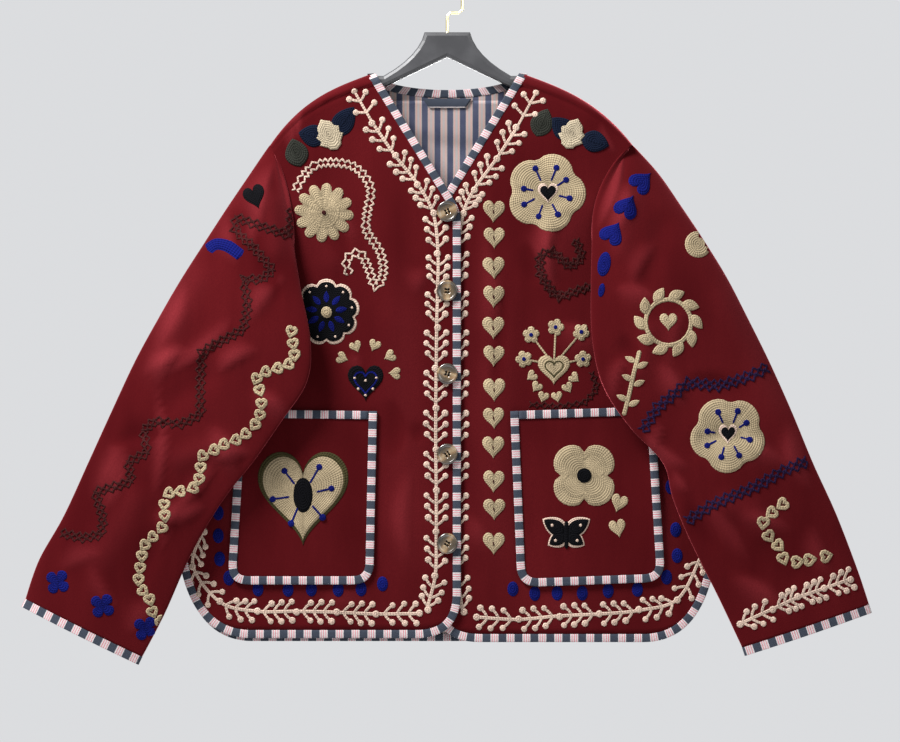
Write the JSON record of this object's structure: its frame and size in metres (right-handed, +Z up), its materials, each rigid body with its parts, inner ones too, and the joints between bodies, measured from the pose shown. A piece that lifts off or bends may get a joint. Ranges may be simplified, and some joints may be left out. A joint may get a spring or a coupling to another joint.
{
  "type": "embroidered blazer on a hanger",
  "caption": "Collarless V-neck velvet blazer with chain-stitch embroidery, patch pockets, striped tape edges and horn buttons, hanging flat on a plain hanger.",
  "frame": {"origin": "where the rail touches the inside top of the hanger's hook, in the blazer's middle plane", "axes": "+Z up, +X to the wearer's left, and the blazer's front faces -Y"},
  "size_m": [0.9305, 0.072, 0.7673],
  "materials": {
    "velvet": "wine red cotton velvet with chain-stitch embroidery",
    "striped_tape": "woven tape with navy and white blocks and fine red lines",
    "navy_tape": "plain navy tape",
    "striped_lining": "navy and cream striped cotton",
    "horn": "polished mottled horn",
    "hanger_plastic": "smooth dark grey plastic",
    "hook_metal": "pale gold plated wire"
  },
  "bodies": {
    "root": {"back": "velvet", "back_lining": "striped_lining", "hanging_loop": "navy_tape", "back_neck_binding": "striped_tape", "back_hem_binding": "striped_tape", "front_right": "velvet", "front_binding_right": "striped_tape", "pocket_right": "velvet", "pocket_edge_binding_right": "striped_tape", "pocket_top_binding_right": "striped_tape", "sleeve_right": "velvet", "cuff_binding_right": "striped_tape", "front_left": "velvet", "front_binding_left": "striped_tape", "pocket_left": "velvet", "pocket_edge_binding_left": "striped_tape", "pocket_top_binding_left": "striped_tape", "sleeve_left": "velvet", "cuff_binding_left": "striped_tape", "button_1": "horn", "button_2": "horn", "button_3": "horn", "button_4": "horn", "button_5": "horn", "hanger": "hanger_plastic", "hook": "hook_metal"}
  },
  "joints": []
}
